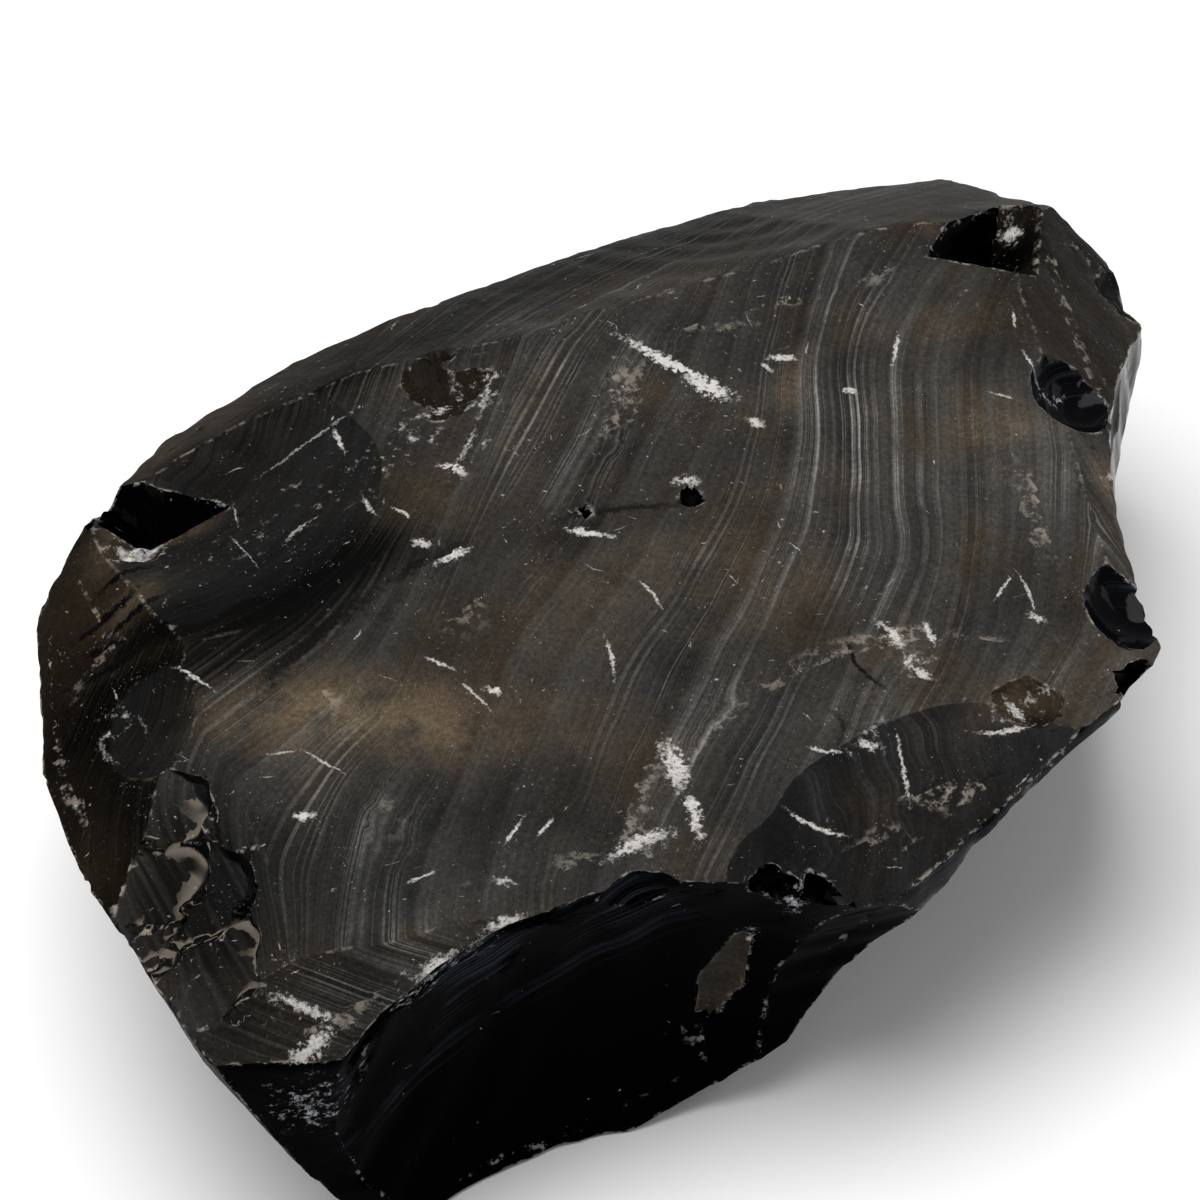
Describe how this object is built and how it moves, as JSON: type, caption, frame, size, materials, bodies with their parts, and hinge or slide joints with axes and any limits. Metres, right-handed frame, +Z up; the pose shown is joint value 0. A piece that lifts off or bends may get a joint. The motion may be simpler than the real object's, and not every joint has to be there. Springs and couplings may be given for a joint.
{
  "type": "obsidian chunk",
  "caption": "Rough chunk of black volcanic glass with a broad weathered upper face, dished flake scars and sharp edges, lying on its flat base.",
  "frame": {"origin": "middle of the underside of the chunk's box, on the surface that it rests on", "axes": "+X along the chunk's length towards its notched end, +Z up, -Y towards the long black scar"},
  "size_m": [0.1982, 0.1408, 0.0626],
  "materials": {
    "obsidian": "dark brown-grey weathered glass with fine flow bands and pale scratches, and jet-black glossy fracture scars"
  },
  "bodies": {
    "root": {"obsidian_chunk": "obsidian"}
  },
  "joints": []
}
